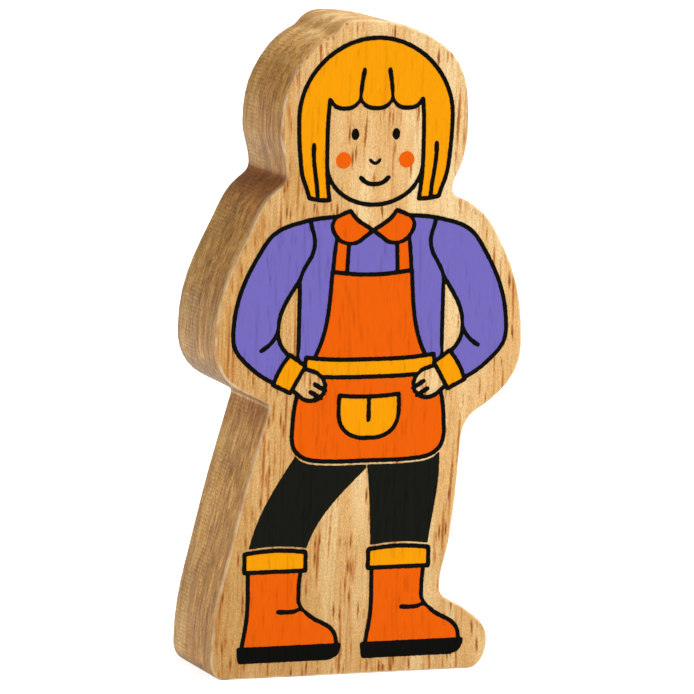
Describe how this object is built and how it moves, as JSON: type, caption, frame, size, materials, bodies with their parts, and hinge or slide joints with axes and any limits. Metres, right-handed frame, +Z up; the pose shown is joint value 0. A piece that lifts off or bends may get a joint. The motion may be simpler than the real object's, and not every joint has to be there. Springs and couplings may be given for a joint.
{
  "type": "wooden toy figure",
  "caption": "Free-standing toy figure: a thick wooden board cut to the outline of a standing person with rounded edges, printed in colour on its front face.",
  "frame": {"origin": "middle of the base, on the surface the figure stands on", "axes": "+Z up, +X to the viewer's right when looking at the printed face, the printed face looks along -Y"},
  "size_m": [0.0558, 0.02, 0.1122],
  "materials": {
    "wood": "smooth sanded bare hardwood",
    "ink_yellow": "satin screen-printed ink",
    "ink_orange": "satin screen-printed ink",
    "ink_purple": "satin screen-printed ink",
    "ink_black": "satin screen-printed ink"
  },
  "bodies": {
    "root": {"wooden_body": "wood", "hair": "ink_yellow", "apron_belt": "ink_yellow", "apron_pocket": "ink_yellow", "cuff_left": "ink_yellow", "cuff_right": "ink_yellow", "boot_band_left": "ink_yellow", "boot_band_right": "ink_yellow", "collar_left": "ink_orange", "collar_right": "ink_orange", "apron_strap_left": "ink_orange", "apron_strap_right": "ink_orange", "apron_bib": "ink_orange", "apron_skirt": "ink_orange", "boot_left": "ink_orange", "boot_right": "ink_orange", "cheek_left": "ink_orange", "cheek_right": "ink_orange", "jumper_left": "ink_purple", "jumper_right": "ink_purple", "jumper_chest": "ink_purple", "sleeve_left": "ink_purple", "sleeve_right": "ink_purple", "head_lines": "ink_black", "clothes_lines": "ink_black", "pocket_lines": "ink_black", "boot_lines_left": "ink_black", "boot_lines_right": "ink_black", "trousers_left": "ink_black", "trousers_right": "ink_black", "eye_left": "ink_black", "eye_right": "ink_black", "nose": "ink_black", "smile": "ink_black"}
  },
  "joints": []
}
